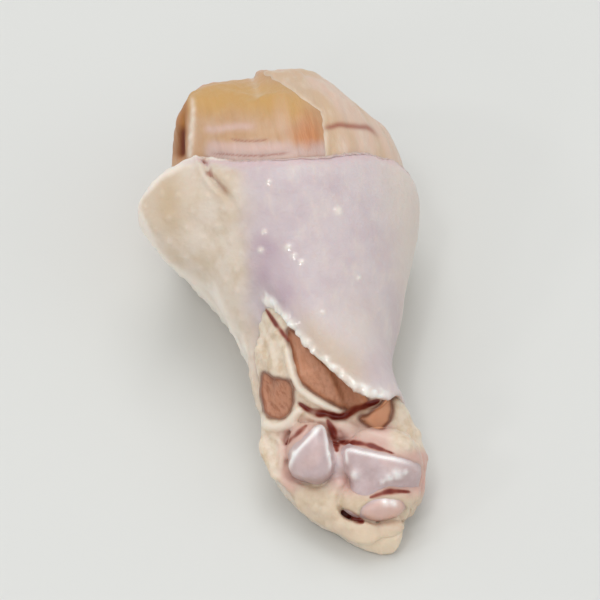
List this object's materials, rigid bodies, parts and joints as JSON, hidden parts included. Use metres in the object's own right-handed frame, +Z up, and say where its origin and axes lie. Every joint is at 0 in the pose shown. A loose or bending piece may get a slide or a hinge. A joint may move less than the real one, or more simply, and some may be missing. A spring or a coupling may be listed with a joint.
{
  "type": "raw chicken wing",
  "caption": "Raw chicken wing drumette: upper arm bone with rounded ends, meat showing at the shoulder cut, and loose skin drawn back above the elbow.",
  "frame": {"origin": "on the surface it lies on, under the middle of the piece's box", "axes": "+Y along the bone from the elbow to the shoulder, +Z up, +X to the right when it is seen from the elbow end"},
  "size_m": [0.0421, 0.0822, 0.031],
  "materials": {
    "skin": "wet raw skin, lilac where stretched and cream where fatty",
    "meat": "wet raw meat, tan to pink",
    "bone": "wet cartilage, pale lilac white"
  },
  "bodies": {
    "root": {"skin": "skin", "meat": "meat", "bone": "bone"}
  },
  "joints": []
}
